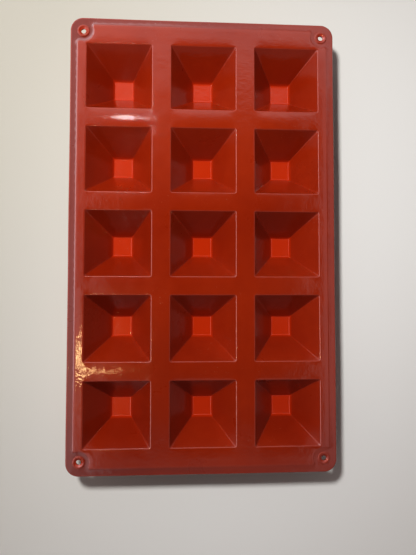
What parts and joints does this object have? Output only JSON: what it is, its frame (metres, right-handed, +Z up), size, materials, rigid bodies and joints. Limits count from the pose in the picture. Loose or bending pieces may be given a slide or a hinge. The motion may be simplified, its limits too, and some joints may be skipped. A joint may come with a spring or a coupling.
{
  "type": "resin casting mould",
  "caption": "Flexible silicone tray with rows of square pyramid cavities, a thin outer lip and a hanging eyelet in each corner.",
  "frame": {"origin": "centre of the tray's footprint, on the surface that the undersides of the cavities stand on", "axes": "+Y along the tray's long side, +X across it, +Z up out of the open side of the cavities"},
  "size_m": [0.1736, 0.295, 0.025],
  "materials": {
    "silicone": "satin"
  },
  "bodies": {
    "root": {"deck_sheet": "silicone", "rim_lip": "silicone", "corner_eyelet_back_left": "silicone", "corner_eyelet_back_right": "silicone", "corner_eyelet_front_left": "silicone", "corner_eyelet_front_right": "silicone", "cavity_cup_r1_c1": "silicone", "cavity_cup_r1_c2": "silicone", "cavity_cup_r1_c3": "silicone", "cavity_cup_r2_c1": "silicone", "cavity_cup_r2_c2": "silicone", "cavity_cup_r2_c3": "silicone", "cavity_cup_r3_c1": "silicone", "cavity_cup_r3_c2": "silicone", "cavity_cup_r3_c3": "silicone", "cavity_cup_r4_c1": "silicone", "cavity_cup_r4_c2": "silicone", "cavity_cup_r4_c3": "silicone", "cavity_cup_r5_c1": "silicone", "cavity_cup_r5_c2": "silicone", "cavity_cup_r5_c3": "silicone"}
  },
  "joints": []
}
